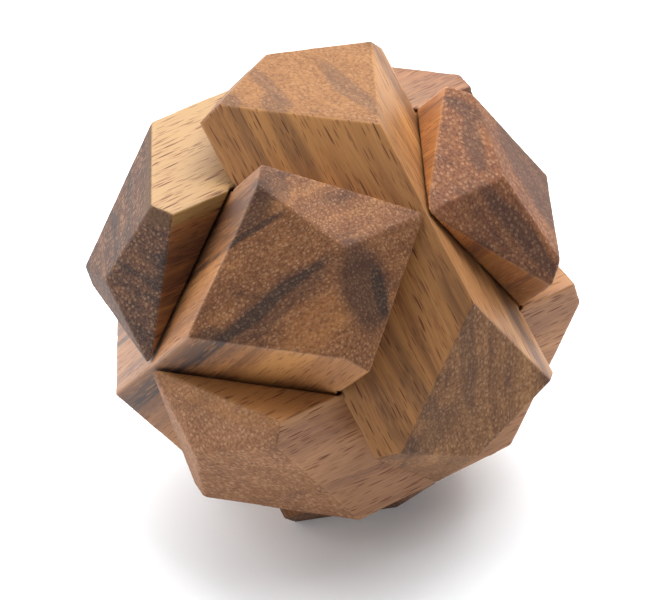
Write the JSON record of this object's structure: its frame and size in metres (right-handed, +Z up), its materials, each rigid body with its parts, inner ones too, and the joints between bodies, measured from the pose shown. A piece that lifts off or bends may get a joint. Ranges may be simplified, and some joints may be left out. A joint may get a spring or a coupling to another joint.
{
  "type": "diagonal burr puzzle",
  "caption": "Take-apart wooden burr puzzle: notched square sticks cross in pairs and interlock as a faceted ball that slides apart along its diagonals.",
  "frame": {"origin": "on the surface that the ball stands on, in the plane of the end bevel that it rests on, straight below the ball's centre", "axes": "+Z up, away from the resting bevel; +Y along the two sticks that lie level; +X towards the side where the upper right stick runs down"},
  "size_m": [0.0716, 0.0708, 0.0715],
  "materials": {
    "upper_right_stick_wood": "pale golden tropical hardwood, sanded and oiled to a satin, open dark pores",
    "lower_left_stick_wood": "mid-brown tropical hardwood, sanded and oiled to a satin, open dark pores",
    "front_stick_wood": "brown tropical hardwood with a near-black band, sanded and oiled to a satin",
    "back_stick_wood": "reddish-brown tropical hardwood with pale flecks in its end grain, oiled to a satin",
    "lower_right_stick_wood": "pinkish-tan tropical hardwood with speckled end grain, oiled to a satin",
    "upper_left_stick_wood": "straw-yellow sapwood with dark heartwood streaks, sanded and oiled to a satin"
  },
  "bodies": {
    "lower_left_stick": {"lower_left_stick": "lower_left_stick_wood"},
    "lower_right_stick": {"lower_right_stick": "lower_right_stick_wood"},
    "front_stick": {"front_stick": "front_stick_wood"},
    "back_stick": {"back_stick": "back_stick_wood"},
    "upper_left_stick": {"upper_left_stick": "upper_left_stick_wood"},
    "upper_right_stick": {"upper_right_stick": "upper_right_stick_wood"}
  },
  "joints": [
    {"name": "right_half_slide", "type": "slide", "parent": "lower_left_stick", "child": "lower_right_stick", "axis": [0.8165, -0.5774, 0], "range_m": [0, 0.045]},
    {"name": "front_half_slide", "type": "slide", "parent": "lower_right_stick", "child": "front_stick", "axis": [0, -0.5774, 0.8165], "range_m": [0, 0.045]},
    {"name": "back_half_slide", "type": "slide", "parent": "lower_left_stick", "child": "back_stick", "axis": [0, 0.5774, 0.8165], "range_m": [0, 0.045]},
    {"name": "upper_left_front_slide", "type": "slide", "parent": "back_stick", "child": "upper_left_stick", "axis": [0, -0.5774, 0.8165], "range_m": [0, 0.045]},
    {"name": "upper_right_back_slide", "type": "slide", "parent": "front_stick", "child": "upper_right_stick", "axis": [0, 0.5774, 0.8165], "range_m": [0, 0.045]}
  ],
  "couplings": [
    {"joint": "upper_left_front_slide", "follows": "front_half_slide", "ratio": 1},
    {"joint": "upper_right_back_slide", "follows": "back_half_slide", "ratio": 1}
  ]
}
